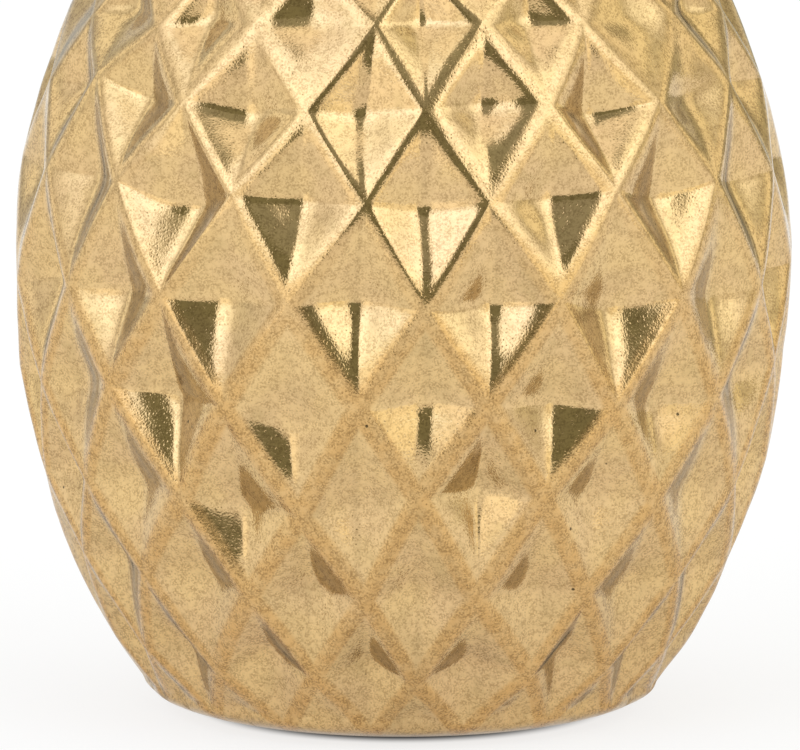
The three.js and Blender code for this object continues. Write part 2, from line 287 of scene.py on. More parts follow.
# Where a dimple's and a pinhole's edge begins and ends, as shares of their size or spacing, between which
# chances dimples get deep, and the share of places without a pinhole
DIMPLE_EDGE = (0.12, 0.42)
PINHOLE_EDGE = (0.03, 0.06)
DEEP_CHANCES = (0.2, 0.8)
PLAIN_SHARE = 0.8
# Between which values of their noise the grain, its clumps, the colour's and the roughness's clouds, and the
# crest band's and the olive patches come up
GRAIN_LIMITS = (0.35, 0.65)
CLUMP_LIMITS = (0.3, 0.6)
COLOUR_LIMITS = (0.35, 0.65)
ROUGHNESS_LIMITS = (0.3, 0.7)
CREST_BAND_LIMITS = (0.25, 0.65)
OLIVE_LIMITS = (0.45, 0.75)
# Between which grazing values the olive and the grain grow as painted shade towards the outline as seen,
# and how much of a crest's dull band and painted reflection is left in its weakest patches
OLIVE_SHADE_GRAZING = (0.3, 0.9)
GRAIN_SHADE_GRAZING = (0.2, 0.8)
LEAST_CREST_BAND = 0.5
# Heights of its waves and grain, and depths of its dimples and pinholes, in millimetres
WAVE_HEIGHT = 0.022
GRAIN_HEIGHT = 0.02
DIMPLE_DEPTH = 0.016
PINHOLE_DEPTH = 0.05
# How much of the olive shows in its patches and at grazing angles, where it is painted shade, and of the
# grain face on and grazing, where its growth is painted shade too
OLIVE_SHARES = (0.45, 0.6)
GRAIN_SHARES = (0.44, 0.68)
PINHOLE_SHARE = 0.85
# What full wear adds to the grain's share, to the roughness, and to the height of the relief
WORN_GRAIN = 0.15
WORN_ROUGHNESS = 0.16
WORN_RELIEF = 1.5
# What its clouds add to the roughness, and the body's and the crown's own, as it is and mirrored in itself
CLOUD_ROUGHNESS = 0.04
BODY_ROUGHNESS = (0.07, 0.07)
CROWN_ROUGHNESS = (0.09, 0.6)

# Studio: directions seen from the object, with azimuth 0 towards the camera and 90 towards +X, in degrees
WHITE = (1, 1, 1, 1)
TABLE_FRONT = 0.65
TABLE_REACH = 4.0
# The table's own glow and its albedo, as the camera sees it and as the ornament reflects it
TABLE_SEEN = (0.78, 0.22)
TABLE_REFLECTED = (0.46, 0.6)
# Where the table's glow fades out under the foot, as a painted contact shadow
CONTACT_SHADOW_RADII = (32 * MM, 39 * MM)
# Azimuths between which the table is dim in reflections, as painted shade towards the camera, and how dim it
# is there
DIM_SIDE = (-9, 12)
DIM_SOFTNESS = 8
DIM_TABLE = 0.92
# Distances from the axis between which the table brightens in reflections, and how dim it is near the foot,
# as painted shadow in reflections
NEAR_RADII = (70 * MM, 260 * MM)
NEAR_TABLE = 0.94
# Walls, bright strips, ceiling and the dim panel above the camera: azimuths, elevations, softness and light
WALLS = [
    ((85, 185), (-90, 66), 20, (0.70, 0.69, 0.56, 1)),
    ((125, 185), (-90, 60), 20, (0.50, 0.49, 0.38, 1)),
    ((98, 118), (0, 52), 4, (1.18, 1.16, 0.98, 1)),
    ((138, 154), (-24, 34), 4, (0.86, 0.84, 0.7, 1)),
    ((-185, -95), (-90, 70), 20, (0.74, 0.77, 0.78, 1)),
    ((-185, -145), (-90, 70), 20, (0.50, 0.52, 0.51, 1)),
    ((-122, -102), (0, 52), 4, (1.18, 1.2, 1.18, 1)),
    ((-158, -140), (-24, 34), 4, (0.86, 0.88, 0.87, 1)),
    ((-185, 185), (58, 95), 10, (1.3, 1.3, 1.3, 1)),
    ((-18, 22), (26, 60), 7, (0.38, 0.4, 0.35, 1)),
]
# Softboxes: inner azimuth, azimuths between which they fade, elevations and light
SOFTBOX_OVERLAP = 6
SOFTBOX_SOFTNESS = 5
SOFTBOXES = [
    (33, (62, 100), (9, 58), (1.58, 1.67, 1.7, 1)),
    (-28, (-58, -98), (9, 58), (1.52, 1.64, 1.83, 1)),
    (36, (46, 66), (18, 44), (1.85, 1.95, 2.15, 1)),
    (-33, (-46, -66), (18, 44), (1.85, 2.0, 2.35, 1)),
    (35, (40, 80), (-12, 12), (1.35, 1.32, 1.15, 1)),
    (-30, (-40, -80), (-12, 12), (1.4, 1.4, 1.35, 1)),
]
ROOM_LIGHT = (0.25, 0.26, 0.19, 1)
ROOM_SOFTNESS = 1.5


def smooth_share(value, start, end):
    """0 before start, 1 after end, and a smooth step between them."""
    share = np.clip((value - start) / (end - start), 0, 1)
    return share * share * (3 - 2 * share)


# Mesh making


def grid_faces(numbers, closed=False, crossed=None):
    """Two triangles for each square of a grid of point numbers. A closed grid joins its last column to its
    first, and the squares that are marked as crossed are cut along their other diagonal."""
    if closed:
        numbers = np.concatenate([numbers, numbers[:, :1]], axis=1)
    a, b = numbers[:-1, :-1], numbers[:-1, 1:]
    d, c = numbers[1:, :-1], numbers[1:, 1:]
    squares = np.stack([a, b, c, d], axis=-1).reshape(-1, 4)
    if crossed is not None:
        squares = np.where(crossed.reshape(-1, 1), np.roll(squares, -1, axis=1), squares)
    return np.concatenate([squares[:, [0, 1, 2]], squares[:, [0, 2, 3]]])


def weld(points, faces):
    """Points in the same place become one, and triangles that lose a corner go. Also gives the old number of
    each point that stays."""
    keys = np.round(points / (0.0001 * MM)).astype(np.int64)
    _, first, numbers = np.unique(keys, axis=0, return_index=True, return_inverse=True)
    faces = numbers.reshape(-1)[faces]
    whole = (faces[:, 0] != faces[:, 1]) & (faces[:, 1] != faces[:, 2]) & (faces[:, 2] != faces[:, 0])
    return points[first], faces[whole], first


def grid_numbers(grid, start=0):
    """Numbers from start on for a grid of points."""
    return start + np.arange(grid.shape[0] * grid.shape[1]).reshape(grid.shape[:2])


def outward(points, faces):
    """The triangles, turned round if the volume that they enclose comes out negative."""
    a, b, c = (points[faces[:, corner]] for corner in range(3))
    volume = np.einsum("ij,ij->i", a, np.cross(b, c)).sum()
    return faces if volume > 0 else faces[:, ::-1]


def add_object(name, data):
    """A new object in the scene, at the origin."""
    added = bpy.data.objects.new(name, data)
    bpy.context.scene.collection.objects.link(added)
    return added


def new_piece(name, points, faces, material, node, wear_and_reflection=None):
    """A smooth-shaded piece at the origin that rides on the body and stands for the named solid. Its share of
    the crests' dull band and painted reflection, if any, goes into an attribute that the gold reads."""
    mesh = bpy.data.meshes.new(name)
    mesh.vertices.add(len(points))
    mesh.vertices.foreach_set("co", points.astype(np.float32).ravel())
    mesh.loops.add(faces.size)
    mesh.loops.foreach_set("vertex_index", faces.astype(np.int32).ravel())
    mesh.polygons.add(len(faces))
    mesh.polygons.foreach_set("loop_start", np.arange(0, faces.size, 3, dtype=np.int32))
    mesh.update(calc_edges=True)
    mesh.shade_smooth()
    if wear_and_reflection is not None:
        layer = mesh.attributes.new("wear_and_reflection", "FLOAT", "POINT")
        layer.data.foreach_set("value", wear_and_reflection.astype(np.float32))
    mesh.materials.append(material)
    piece = add_object(name, mesh)
    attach(piece, "root")
    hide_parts(node)
    return piece


# Body outline


def outline_radius(height):
    """Radius at a height: a quarter ellipse round the foot's edge, one superellipse up to the belly and
    another from there to the neck."""
    lift = np.clip(1 - height / FOOT_EDGE_HEIGHT, 0, 1)
    foot = FOOT_FLAT_RADIUS + (FOOT_RADIUS - FOOT_FLAT_RADIUS) * np.sqrt(1 - lift**2)
    return np.where(height < FOOT_EDGE_HEIGHT, foot, superellipse_radius(height))


def superellipse_radius(height):
    """Radius of the two superellipses that meet at the belly, each reaching its end radius at its end."""
    lower_reach = (1 - (FOOT_RADIUS / BELLY_RADIUS) ** 2) ** (1 / LOWER_POWER)
    upper_reach = (1 - (NECK_RADIUS / BELLY_RADIUS) ** 2) ** (1 / UPPER_POWER)
    below = np.clip((BELLY_HEIGHT - height) / (BELLY_HEIGHT - FOOT_EDGE_HEIGHT), 0, None) * lower_reach
    above = np.clip((height - BELLY_HEIGHT) / (NECK_HEIGHT - BELLY_HEIGHT), 0, None) * upper_reach
    sunk = below**LOWER_POWER + above**UPPER_POWER
    return BELLY_RADIUS * np.sqrt(np.clip(1 - sunk, 0, 1))


def sunk_place(height, depth):
    """Radius and height of the point that lies depth below the outline, square to it."""
    step = 0.1 * MM
    rise = superellipse_radius(height + step) - superellipse_radius(height - step)
    length = np.hypot(rise, 2 * step)
    return outline_radius(height) - depth * 2 * step / length, height + depth * rise / length


def place_round_axis(angle, radius, height):
    """Points at an angle round the axis, 0 at the front and growing towards +X, above the underside."""
    return np.stack([radius * np.sin(angle), -radius * np.cos(angle), UNDERSIDE + height], axis=-1)


# Ridge net


def pixels_of(points):
    """Where the camera sees points: they are turned into its frame and divided by their distance."""
    offset = points - CAMERA_AIM
    cosine, sine = math.cos(CAMERA_TILT), math.sin(CAMERA_TILT)
    distance = CAMERA_DISTANCE + offset[..., 1] * cosine - offset[..., 2] * sine
    up = offset[..., 1] * sine + offset[..., 2] * cosine
    x = IMAGE_WIDTH / 2 + PIXELS_PER_UNIT * offset[..., 0] / distance
    y = IMAGE_HEIGHT / 2 - PIXELS_PER_UNIT * up / distance
    return np.stack([x, y], axis=-1)


def damped_moves(slopes, misses, groups, damping):
    """A damped least-squares step: for each group of places, the move of its knobs that best takes away the
    misses, when slopes say what each knob does at each place."""
    knobs = slopes.shape[-1]
    square = np.zeros((groups.max() + 1, knobs, knobs))
    pull = np.zeros((groups.max() + 1, knobs))
    np.add.at(square, groups, np.einsum("nki,nkj->nij", slopes, slopes))
    np.add.at(pull, groups, np.einsum("nki,nk->ni", slopes, misses))
    return np.linalg.solve(square + np.eye(knobs) * damping, pull[..., None])[..., 0]


def settle_on_pixels(angle, height, target):
    """Moves points over the outline until the camera sees them at target, by damped steps in millimetres.
    The slopes come from small differences, and no point goes further than the largest slip."""
    angle_step, height_step = 1e-4, 0.01 * MM
    first_angle, first_height = angle, height

    def seen(some_angle, some_height):
        return pixels_of(place_round_axis(some_angle, outline_radius(some_height), some_height))

    for _ in range(SLIP_STEPS):
        here = seen(angle, height)
        along = (seen(angle + angle_step, height) - here) / angle_step * MM / BELLY_RADIUS
        upward = (seen(angle, height + height_step) - here) / height_step * MM
        slopes = np.stack([along, upward], axis=-1)
        move = damped_moves(slopes, target - here, np.arange(len(here)), SLIP_DAMPING) * MM
        angle = angle + move[:, 0] / BELLY_RADIUS
        height = height + move[:, 1]
    turn = LARGEST_SLIP / BELLY_RADIUS
    angle = first_angle + np.clip(angle - first_angle, -turn, turn)
    return angle, first_height + np.clip(height - first_height, -LARGEST_SLIP, LARGEST_SLIP)


def crossing_places(random):
    """Angle and height slips of every crossing from its even place: read from the photograph where it shows
    one, and small chance slips elsewhere. The first and last row stay level."""
    even_height = ROW_SHARES * NECK_HEIGHT
    slips = random.normal(0, SLIP, (2, TOP_ROW + 1, COLUMNS))
    slips = np.clip(slips, -2 * SLIP, 2 * SLIP)
    slips *= (outline_radius(even_height) / BELLY_RADIUS)[:, None]
    slips[0] /= outline_radius(even_height)[:, None]
    for row, (first_column, seen) in CROSSING_PIXELS.items():
        column = first_column + 2 * np.arange(len(seen))
        angle = NET_TURN + FULL_TURN * column / COLUMNS
        height = np.full(len(seen), even_height[row])
        new_angle, new_height = settle_on_pixels(angle, height, np.array(seen, float))
        slips[0, row, column % COLUMNS] = new_angle - angle
        slips[1, row, column % COLUMNS] = new_height - height
    slips[:, [0, TOP_ROW]] = 0
    return slips


def chances(random, *shape):
    """Normal random numbers for an array, cut off at two deviations."""
    return np.clip(random.normal(0, 1, shape), -2, 2)


class Net:
    """The net's cells and their samples. Each cell has a pit share, two pit slips, a swing and a softness.
    Each sample has its cell's middle row and column, and s and t across the cell, and samples that cells
    share are kept once."""

    def __init__(self, random):
        self.slips = crossing_places(random)
        self.pit = 1 + PIT_SPREAD * chances(random, TOP_ROW + 1, COLUMNS)
        self.pit_slip = PIT_SLIP * chances(random, 2, TOP_ROW + 1, COLUMNS)
        self.swing = np.full((TOP_ROW + 1, COLUMNS), FACE_SWING)
        self.softness = 1 + CREASE_SPREAD * chances(random, TOP_ROW + 1, COLUMNS)
        angles = NET_TURN + FULL_TURN * np.arange(COLUMNS) / COLUMNS
        from_front = np.degrees(np.abs((angles + math.pi) % FULL_TURN - math.pi))
        self.softness *= 1 + (SIDE_SOFTNESS - 1) * smooth_share(from_front, *SIDE_ANGLES)
        self.pit[HIGH_ROW:] *= HIGH_PIT_SHARE
        self.pit_slip[1][HIGH_ROW:] += HIGH_PIT_RISE
        self.waves = ripple_waves(random)
        self.make_samples()

    def make_samples(self):
        """Lays the samples in every other place of the rows and columns, where a cell has its middle. Shared
        ones are found by their place in the net, as whole numbers of tiny parts."""
        rows, columns = np.meshgrid(np.arange(TOP_ROW + 1), np.arange(COLUMNS), indexing="ij")
        even = (rows + columns) % 2 == 0
        row, column = rows[even], columns[even]
        steps = np.concatenate([RIDGE_STEPS, 1 - RIDGE_STEPS[-2::-1]])
        s, t = np.meshgrid(steps, steps, indexing="ij")
        parts = 100000
        net_row = np.round((row[:, None, None] + s - t) * parts).astype(np.int64)
        net_column = np.round((column[:, None, None] - 1 + s + t) * parts).astype(np.int64)
        net_column %= COLUMNS * parts
        inside = (net_row >= 0) & (net_row <= TOP_ROW * parts)
        keys = (net_row * COLUMNS * parts * 2 + net_column)[inside]
        _, first, numbers = np.unique(keys, return_index=True, return_inverse=True)
        grid = np.full(inside.shape, -1)
        grid[inside] = numbers.reshape(-1)
        middles = (steps[1:] + steps[:-1]) / 2
        upright = np.abs(middles[:, None] + middles - 1) < np.abs(middles[:, None] - middles)
        faces = np.concatenate([grid_faces(cell, crossed=upright) for cell in grid])
        self.faces = faces[(faces >= 0).all(axis=1)]

        def kept(values):
            return np.broadcast_to(values, inside.shape)[inside][first]

        self.row, self.column = kept(row[:, None, None]), kept(column[:, None, None])
        self.s, self.t = kept(s), kept(t)
        self.foot_ring = np.flatnonzero(kept(net_row) == 0)
        self.neck_ring = np.flatnonzero(kept(net_row) == TOP_ROW * parts)
        self.ring_columns = kept(net_column)[self.foot_ring] / parts

    def corner(self, up, across):
        """Angle and height of the crossing that lies up rows and across columns from the middle of each
        sample's cell. Past both ends the rows go on at the last spacing."""
        shares = np.concatenate([[2 * ROW_SHARES[0] - ROW_SHARES[1]], ROW_SHARES, [2 - ROW_SHARES[-2]]])
        column = self.column + across
        slips = self.slips[:, np.clip(self.row + up, 0, TOP_ROW), column % COLUMNS]
        angle = NET_TURN + FULL_TURN * column / COLUMNS + slips[0]
        return angle, shares[self.row + up + 1] * NECK_HEIGHT + slips[1]

    def surface(self, s, t):
        """Points at s and t: between the four crossings by both shares, then sunk below the outline by the
        cell's relief and raised by the ripples."""
        left, right = self.corner(0, -1), self.corner(0, 1)
        top, bottom = self.corner(1, 0), self.corner(-1, 0)
        angle, height = (
            (1 - s) * (1 - t) * left[i] + s * t * right[i] + s * (1 - t) * top[i] + (1 - s) * t * bottom[i]
            for i in range(2)
        )
        height = np.clip(height, 0, NECK_HEIGHT)
        radius, height = sunk_place(height, self.depth(s, t, height))
        return place_round_axis(angle, radius, height)

    def depth(self, s, t, height):
        """Depth below the outline: a pit with four faces and a deepest point that slips by its cell's slips.
        Its creases are rounded by the cell's softness and sharpen towards the ridges. Each face swings like a
        sine, so that it is steepest midway between ridge and crease. The crests are parabolas that run
        straight into the faces, and are rounder on the upper rows. The relief fades out at both ends."""
        cell = (self.row, self.column % COLUMNS)
        bump = 16 * s * (1 - s) * t * (1 - t)
        across = s + t - 1 - self.pit_slip[0][cell] * bump
        up = s - t - self.pit_slip[1][cell] * bump
        soft = self.softness[cell] ** 2 * bump
        from_middle = np.sqrt(across**2 + soft * UPRIGHT_CREASE**2) + np.sqrt(up**2 + soft * LEVEL_CREASE**2)
        share = np.abs(1 - from_middle)
        end_share = np.where((self.row == 0) | (self.row == TOP_ROW), EDGE_DEPTH_SHARE, 1)
        scale = PIT_DEPTH * self.pit[cell] * end_share * outline_radius(height) / BELLY_RADIUS
        sunk = scale * (share - self.swing[cell] * np.sin(FULL_TURN * share) / FULL_TURN)
        row = self.row + s - t
        rounding = CREST_ROUNDING * (1 + (UPPER_ROUNDING_SHARE - 1) * smooth_share(row, *DULL_ROWS))
        relief = np.where(sunk < rounding, sunk**2 / (2 * rounding), sunk - rounding / 2)
        sag = CREST_SAG * 4 * (s * (1 - s) + t * (1 - t))
        fade = smooth_share(row, 0, 0.5) * smooth_share(TOP_ROW - row, 0, 0.5)
        angle = FULL_TURN * (self.column + s + t - 1) / COLUMNS
        flat_place = place_round_axis(angle, outline_radius(height), height)
        return fade * (relief + sag + ripple(flat_place, self.waves))

    def points_and_normals(self):
        """Every sample's point, and the direction square to the surface there, from small differences."""
        step = 1e-4
        along_s = self.surface(self.s + step, self.t) - self.surface(self.s - step, self.t)
        along_t = self.surface(self.s, self.t + step) - self.surface(self.s, self.t - step)
        normals = np.cross(along_t, along_s)
        points = self.surface(self.s, self.t)
        outwards = np.sign((normals[:, :2] * points[:, :2]).sum(axis=1))[:, None]
        return points, normals * outwards / np.linalg.norm(normals, axis=1)[:, None]

    def mirrored(self):
        """Azimuth and elevation, in degrees, of what the camera sees mirrored at every sample."""
        points, normals = self.points_and_normals()
        sight = points - CAMERA_PLACE
        sight /= np.linalg.norm(sight, axis=1)[:, None]
        ray = sight - 2 * (sight * normals).sum(axis=1)[:, None] * normals
        return np.degrees(np.stack([np.arctan2(ray[:, 0], -ray[:, 1]), np.arcsin(ray[:, 2])], axis=-1))

    def to_ridge(self):
        """Share of a cell's side between each sample and the nearest ridge."""
        return np.minimum(np.minimum(self.s, 1 - self.s), np.minimum(self.t, 1 - self.t))

    def wear_and_reflection(self):
        """Share of the crests' dull band and painted reflection of gold in gold: 1 on the crests of the lower
        ridges, falling to 0 beside them and to a little on the upper ones.
        """
        above = smooth_share(self.row + self.s - self.t, *DULL_ROWS)
        return (1 - smooth_share(self.to_ridge(), *CREST_SHARES)) * (1 - (1 - UPPER_CREST_BAND) * above)


def allowed(mirrored, dark, upper):
    """Where each sample may look, for what it mirrors now. A dark one looks into the room. A pale one on an
    upper face looks below the room, at the table, and one on a lower face past its nearer side or over it."""
    low, high = np.array(ROOM_EDGES, float).T
    inside = np.clip(mirrored, low + ROOM_MARGIN, high - ROOM_MARGIN)
    below = mirrored[:, 1] - (low[1] - ROOM_MARGIN)
    left = mirrored[:, 0] - (low[0] - ROOM_MARGIN)
    right = high[0] + ROOM_MARGIN - mirrored[:, 0]
    above = high[1] + ROOM_MARGIN - mirrored[:, 1]
    within = (below > 0) & (left > 0) & (right > 0) & (above > 0)
    downwards = within & upper
    upwards = within & ~upper & (above <= np.minimum(left, right))
    sideways = within & ~upper & ~upwards
    outside = mirrored.copy()
    outside[:, 0] += sideways * np.where(left < right, -left, right)
    outside[:, 1] += upwards * above - downwards * below
    return np.where(dark[:, None], inside, outside)


def settle_on_tones(net):
    """Slips, deepens and swings the pits until the camera sees the dark room at the dark pixels and not at
    the pale ones, by damped steps for each cell. The slopes come from small differences."""
    points = net.surface(net.s, net.t)
    clear = np.flatnonzero((points[:, 1] < 0) & (net.to_ridge() > SPOT_MARGIN))
    spots = np.array(DARK_PIXELS + PALE_PIXELS, float)
    dark = np.arange(len(spots)) < len(DARK_PIXELS)
    distance = np.linalg.norm(pixels_of(points[clear])[None] - spots[:, None], axis=2)
    chosen = clear[distance.argmin(axis=1)]
    part = copy.copy(net)
    for name in ("row", "column", "s", "t"):
        setattr(part, name, getattr(net, name)[chosen])
    cells, number = np.unique(part.row * COLUMNS + part.column % COLUMNS, return_inverse=True)
    row, column = cells // COLUMNS, cells % COLUMNS
    knobs = (net.pit_slip[0], net.pit_slip[1], net.pit, net.swing)
    nudge = 1e-3
    for _ in range(PIT_STEPS):
        here = part.mirrored()
        miss = allowed(here, dark, part.s > part.t) - here
        slopes = []
        for knob in knobs:
            knob += nudge
            slopes.append((part.mirrored() - here) / nudge)
            knob -= nudge
        moves = damped_moves(np.stack(slopes, axis=-1), miss, number, PIT_DAMPING)
        for knob, limits, change in zip(knobs, PIT_LIMITS, moves.T):
            knob[row, column] = np.clip(knob[row, column] + change, *limits)


def ripple_waves(random):
    """Wave vectors and starts of the plane waves that add up to the ripples of a hand-finished surface."""
    directions = random.normal(0, 1, (RIPPLE_WAVES, 3))
    directions /= np.linalg.norm(directions, axis=1)[:, None]
    lengths = random.uniform(*RIPPLE_LENGTHS, RIPPLE_WAVES)
    return directions * (FULL_TURN / lengths)[:, None], random.uniform(0, FULL_TURN, RIPPLE_WAVES)


def ripple(points, waves):
    """Sum of plane waves at each point."""
    vectors, starts = waves
    height = np.zeros(len(points))
    for vector, start in zip(vectors, starts):
        height += np.cos(points @ vector + start)
    return RIPPLE_HEIGHT * height * math.sqrt(2 / RIPPLE_WAVES)


# Body piece


def ring_points(columns, profile):
    """Rings of points round the axis, one for each (radius, height) of a profile."""
    angle = NET_TURN + FULL_TURN * columns / COLUMNS
    radius, height = np.array(profile).T[:, :, None]
    return place_round_axis(angle[None], radius, np.broadcast_to(height, (len(height), len(angle))))


def foot_profile():
    """From the net's first row round the foot's edge to the foot's flat, on the quarter ellipse."""
    start = math.asin(1 - ROW_SHARES[0] * NECK_HEIGHT / FOOT_EDGE_HEIGHT)
    lift = np.linspace(start, math.pi / 2, FOOT_STEPS)[1:]
    radius = FOOT_FLAT_RADIUS + (FOOT_RADIUS - FOOT_FLAT_RADIUS) * np.cos(lift)
    return np.stack([radius, FOOT_EDGE_HEIGHT * (1 - np.sin(lift))], axis=1)


def rounded_corner(radius, height, outwards, upwards):
    """A quarter circle that rounds a corner, from its level face to its upright face."""
    turn = np.linspace(0, math.pi / 2, CORNER_STEPS)
    across = ROUNDING * (1 - np.sin(turn)) * outwards
    return np.stack([radius + across, height + ROUNDING * (1 - np.cos(turn)) * upwards], axis=1)


def inside_profile():
    """From the pour hole's mouth up through the floor, round the hollow, out of the socket in the neck and
    over the rim. A last ring close to the rim's edge keeps the rim's shading flat."""
    heights = np.linspace(ROW_SHARES[1], ROW_SHARES[-2], WALL_RINGS) * NECK_HEIGHT
    wall = np.stack(sunk_place(heights, WALL), axis=1)
    return np.concatenate([
        rounded_corner(POUR_HOLE_RADIUS, 0, 1, 1),
        [[POUR_HOLE_RADIUS, FLOOR_THICKNESS], [FOOT_RADIUS - WALL, FLOOR_THICKNESS]],
        wall,
        [[SOCKET_RADIUS, NECK_HEIGHT - NECK_WALL]],
        rounded_corner(SOCKET_RADIUS, NECK_HEIGHT, 1, -1)[::-1],
        [[NECK_RADIUS - ROUNDING / 2, NECK_HEIGHT]],
    ])


def pad_place(index):
    """Middle of a pad on the foot."""
    angle = FULL_TURN * (index / PADS + 1 / (2 * PADS))
    return np.array([math.cos(angle), math.sin(angle)]) * PAD_RING_RADIUS


def foot_plate(outer, inner):
    """The foot's flat between two rings, with a round recess for each pad: the flat is triangulated between
    all the rings, and the triangles with all corners on the pour hole's ring, or on one recess's, go."""
    level = outer[0, 2]
    turn = np.linspace(0, FULL_TURN, PAD_SIDES, endpoint=False)
    circle = np.stack([np.cos(turn), np.sin(turn)], axis=1) * PAD_RECESS_RADIUS
    places = [pad_place(index) for index in range(PADS)]
    rings = [outer[:, :2], inner[:, :2]] + [place + circle for place in places]
    edges = []
    start = 0
    for ring in rings:
        numbers = start + np.arange(len(ring))
        edges += np.stack([numbers, np.roll(numbers, -1)], axis=1).tolist()
        start += len(ring)
    flat = np.concatenate(rings)
    made = delaunay_2d_cdt([Vector(point) for point in flat], edges, [], 0, 1e-9)
    faces = np.array([numbers[0] for numbers in made[3]])[np.array(made[2])]
    points = np.column_stack([flat, np.full(len(flat), level)])
    owners = np.repeat(np.arange(len(rings)), [len(ring) for ring in rings])[faces]
    opening = (owners == owners[:, :1]).all(axis=1) & (owners[:, 0] > 0)
    faces = faces[~opening][:, ::-1]
    for place in places:
        mouth = np.column_stack([place + circle, np.full(len(circle), level)])
        top = mouth * [1, 1, 0] + [0, 0, PAD_RECESS_TOP]
        recess = np.stack([mouth, top, np.broadcast_to([*place, PAD_RECESS_TOP], top.shape)])
        recess_faces = grid_faces(grid_numbers(recess, len(points)), closed=True)[:, ::-1]
        points = np.concatenate([points, recess.reshape(-1, 3)])
        faces = np.concatenate([faces, recess_faces])
    return points, faces


def body_mesh(net):
    """The net, the foot's edge and flat, and the inside, joined along their rings into one closed skin. The
    net's points come first, and the normals are theirs."""
    points, normals = net.points_and_normals()
    order = np.argsort(net.ring_columns)
    columns = net.ring_columns[order]
    foot = ring_points(columns, foot_profile())
    inside = ring_points(columns, inside_profile())
    foot_numbers = grid_numbers(foot, len(points))
    inside_numbers = grid_numbers(inside, foot_numbers.max() + 1)
    plate_points, plate_faces = foot_plate(foot[-1], inside[0])
    faces = np.concatenate([
        outward(points, net.faces),
        grid_faces(np.concatenate([net.foot_ring[order][None], foot_numbers]), closed=True)[:, ::-1],
        grid_faces(np.concatenate([inside_numbers, net.neck_ring[order][None]]), closed=True)[:, ::-1],
        plate_faces + inside_numbers.max() + 1,
    ])
    return np.concatenate([points, foot.reshape(-1, 3), inside.reshape(-1, 3), plate_points]), faces, normals


def make_body(material):
    """The body shell's piece, narrowed to the solids' box where it would stand out of it. The net's normals
    come from the surface's formula, so that creases stay smooth."""
    net = Net(np.random.default_rng(BODY_SEED))
    settle_on_tones(net)
    points, faces, normals = body_mesh(net)
    reach = np.abs(points[:, :2]).max(axis=0)
    points[:, :2] *= min(1.0, *(np.array([cad_high.x, cad_high.y]) / reach))
    # Each point's share of the crests' dull band and painted reflection; only the net's points have any
    wear_and_reflection = np.zeros(len(points))
    wear_and_reflection[: len(normals)] = net.wear_and_reflection()
    points, faces, first = weld(points, faces)
    piece = new_piece("body", points, faces, material, "body_shell", wear_and_reflection[first])
    directions = np.zeros(points.size, np.float32)
    piece.data.vertex_normals.foreach_get("vector", directions)
    directions = directions.reshape(-1, 3)
    in_net = first < len(normals)
    directions[in_net] = normals[first[in_net]]
    piece.data.normals_split_custom_set_from_vertices(directions.tolist())


# Crown pieces


def closed_skin(grid):
    """Points and outward triangles of a grid that joins its last column to its first and has closed ends, and
    the old number of each point that stays."""
    points, faces, first = weld(grid.reshape(-1, 3), grid_faces(grid_numbers(grid), closed=True))
    return points, outward(points, faces), first


def lathe(profile, sides):
    """A profile of (radius, height) pairs turned about the axis, with its poles closed."""
    radius, height = np.array(profile).T[:, :, None]
    angle = np.linspace(0, FULL_TURN, sides, endpoint=False)
    height = np.broadcast_to(height, (len(height), sides))
    return closed_skin(np.stack([radius * np.cos(angle), radius * np.sin(angle), height], axis=-1))[:2]


def make_stub(material):
    """The crown's core: a spigot, a flange with a rounded rim, and an elliptic dome."""
    rim = np.linspace(-math.pi / 2, math.pi / 2, RIM_STEPS)
    half = FLANGE_HEIGHT / 2
    flange_radius = FLANGE_RADIUS - half + half * np.cos(rim)
    flange = np.stack([flange_radius, DOME_BOTTOM - half + half * np.sin(rim)], axis=1)
    latitude = np.linspace(0, math.pi / 2, DOME_STEPS)
    dome = np.stack([DOME_RADIUS * np.cos(latitude), DOME_BOTTOM + DOME_HEIGHT * np.sin(latitude)], axis=1)
    dome[-1, 0] = 0
    profile = np.concatenate([
        [[0, stub_low.z], [SPIGOT_RADIUS - ROUNDING, stub_low.z], [SPIGOT_RADIUS, stub_low.z + ROUNDING]],
        [[SPIGOT_RADIUS, DOME_BOTTOM - FLANGE_HEIGHT]],
        flange,
        dome,
    ])
    points, faces = lathe(profile, CORE_SIDES)
    new_piece("crown_core", points, faces, material, "crown_stub", np.zeros(len(points)))


